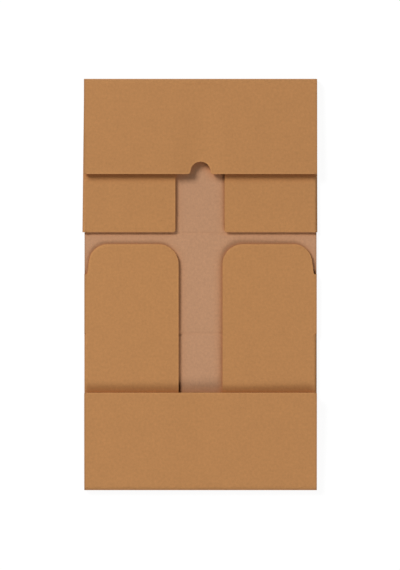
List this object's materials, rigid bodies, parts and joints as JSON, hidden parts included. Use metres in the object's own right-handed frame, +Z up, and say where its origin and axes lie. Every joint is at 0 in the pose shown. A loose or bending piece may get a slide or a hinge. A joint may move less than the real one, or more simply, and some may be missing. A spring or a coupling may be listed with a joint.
{
  "type": "flattened cardboard box",
  "caption": "Corrugated mailing box with a hinged lid, folded flat: its side walls, rear ears, front wall and lid flaps lie folded in over the panels.",
  "frame": {"origin": "on the underside, on the centre line of the base, half way between the front fold and the lid's front fold", "axes": "+Z up, out of the inner face; +Y from the base towards the lid; +X to the right, seen from above"},
  "size_m": [0.2427, 0.4248, 0.0127],
  "materials": {
    "board": "matte"
  },
  "bodies": {
    "tray": {"tray": "board"},
    "front_wall": {"front_wall": "board"},
    "lid": {"lid": "board"},
    "lid_front_flap": {"lid_front_flap": "board"}
  },
  "joints": [
    {"name": "front_fold", "type": "hinge", "parent": "tray", "child": "front_wall", "pos_m": [0, -0.2124, 0.0045], "axis": [1, 0, 0], "range_deg": [0, 177.9]},
    {"name": "lid_crease", "type": "hinge", "parent": "tray", "child": "lid", "pos_m": [0, 0.0528, 0.0028], "axis": [1, 0, 0], "range_deg": [0, 90]},
    {"name": "lid_front_fold", "type": "hinge", "parent": "lid", "child": "lid_front_flap", "pos_m": [0, 0.2124, 0.0045], "axis": [-1, 0, 0], "range_deg": [0, 178.3]}
  ]
}
